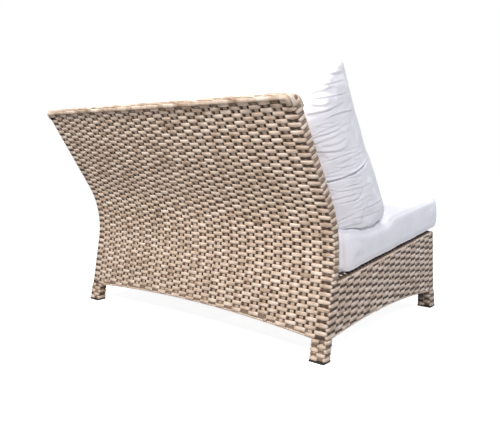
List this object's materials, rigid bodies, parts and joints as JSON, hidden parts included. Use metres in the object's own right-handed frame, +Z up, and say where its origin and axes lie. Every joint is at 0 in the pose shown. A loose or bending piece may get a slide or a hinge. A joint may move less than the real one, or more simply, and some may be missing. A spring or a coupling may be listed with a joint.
{
  "type": "patio loveseat",
  "caption": "Armless outdoor loveseat with a woven resin shell on a tube frame, and loose box-edged seat and back cushions.",
  "frame": {"origin": "on the floor, at the centre of the whole object's footprint box", "axes": "+X along the seat, to the right of someone who faces the seat's rear as it is seen from the front; +Y to the rear; +Z up"},
  "size_m": [1.303, 1.1578, 0.9916],
  "materials": {
    "wicker": "woven half round resin strand, tan with lighter and darker streaks",
    "frame_tube": "brown powder coat",
    "glide": "moulded, satin",
    "cushion_cover": "plain woven outdoor cloth with sewn seams",
    "cushion_core": "foam and fibre filling, hidden in the cover",
    "zip_tape": "woven tape with moulded teeth",
    "zip_metal": "enamelled, satin"
  },
  "bodies": {
    "frame": {"back_outer_weave": "wicker", "back_inner_weave": "wicker", "back_top_weave": "wicker", "front_weave": "wicker", "seat_deck_weave": "wicker", "top_rail": "frame_tube", "back_stile_center": "frame_tube", "arch_rail_rear": "frame_tube", "arch_rail_front": "frame_tube", "seat_rail_rear": "frame_tube", "seat_rail_front": "frame_tube", "seat_bar_left": "frame_tube", "seat_bar_center": "frame_tube", "seat_bar_right": "frame_tube", "rear_post_left": "frame_tube", "front_leg_left": "frame_tube", "seat_rail_left": "frame_tube", "arch_rail_left": "frame_tube", "back_end_weave_left": "wicker", "side_weave_left": "wicker", "leg_wrap_rear_left": "wicker", "leg_wrap_front_left": "wicker", "glide_rear_left": "glide", "glide_front_left": "glide", "rear_post_right": "frame_tube", "front_leg_right": "frame_tube", "seat_rail_right": "frame_tube", "arch_rail_right": "frame_tube", "back_end_weave_right": "wicker", "side_weave_right": "wicker", "leg_wrap_rear_right": "wicker", "leg_wrap_front_right": "wicker", "glide_rear_right": "glide", "glide_front_right": "glide"},
    "seat_cushion_left": {"seat_cushion_cover_left": "cushion_cover", "seat_cushion_core_left": "cushion_core", "seat_zip_tape_left": "zip_tape"},
    "seat_zip_slider_left": {"seat_zip_slider_left": "zip_metal"},
    "seat_zip_tab_left": {"seat_zip_tab_left": "zip_metal"},
    "back_cushion_left": {"back_cushion_cover_left": "cushion_cover", "back_cushion_core_left": "cushion_core", "back_zip_tape_left": "zip_tape"},
    "back_zip_slider_left": {"back_zip_slider_left": "zip_metal", "back_zip_tab_left": "zip_metal"},
    "seat_cushion_right": {"seat_cushion_cover_right": "cushion_cover", "seat_cushion_core_right": "cushion_core", "seat_zip_tape_right": "zip_tape"},
    "seat_zip_slider_right": {"seat_zip_slider_right": "zip_metal"},
    "seat_zip_tab_right": {"seat_zip_tab_right": "zip_metal"},
    "back_cushion_right": {"back_cushion_cover_right": "cushion_cover", "back_cushion_core_right": "cushion_core", "back_zip_tape_right": "zip_tape"},
    "back_zip_slider_right": {"back_zip_slider_right": "zip_metal", "back_zip_tab_right": "zip_metal"}
  },
  "joints": [
    {"name": "seat_cushion_left_slide_off", "type": "slide", "parent": "frame", "child": "seat_cushion_left", "axis": [0, -0.9947, 0.1028], "range_m": [0, 0.9]},
    {"name": "back_cushion_left_lift_off", "type": "slide", "parent": "frame", "child": "back_cushion_left", "axis": [0, 0, 1], "range_m": [0, 0.5]},
    {"name": "seat_zip_left_run", "type": "slide", "parent": "seat_cushion_left", "child": "seat_zip_slider_left", "axis": [1, 0, 0], "range_m": [0, 0.468]},
    {"name": "back_zip_left_run", "type": "slide", "parent": "back_cushion_left", "child": "back_zip_slider_left", "axis": [1, 0, 0], "range_m": [0, 0.468]},
    {"name": "seat_zip_tab_left_swing", "type": "hinge", "parent": "seat_zip_slider_left", "child": "seat_zip_tab_left", "pos_m": [-0.57075, 0.25695, 0.34321], "axis": [0, 0.1028, 0.9947], "range_deg": [0, 180]},
    {"name": "seat_cushion_right_slide_off", "type": "slide", "parent": "frame", "child": "seat_cushion_right", "axis": [0, -0.9947, 0.1028], "range_m": [0, 0.9]},
    {"name": "back_cushion_right_lift_off", "type": "slide", "parent": "frame", "child": "back_cushion_right", "axis": [0, 0, 1], "range_m": [0, 0.5]},
    {"name": "seat_zip_right_run", "type": "slide", "parent": "seat_cushion_right", "child": "seat_zip_slider_right", "axis": [1, 0, 0], "range_m": [0, 0.468]},
    {"name": "back_zip_right_run", "type": "slide", "parent": "back_cushion_right", "child": "back_zip_slider_right", "axis": [1, 0, 0], "range_m": [0, 0.468]},
    {"name": "seat_zip_tab_right_swing", "type": "hinge", "parent": "seat_zip_slider_right", "child": "seat_zip_tab_right", "pos_m": [0.08275, 0.25695, 0.34321], "axis": [0, 0.1028, 0.9947], "range_deg": [0, 180]}
  ]
}
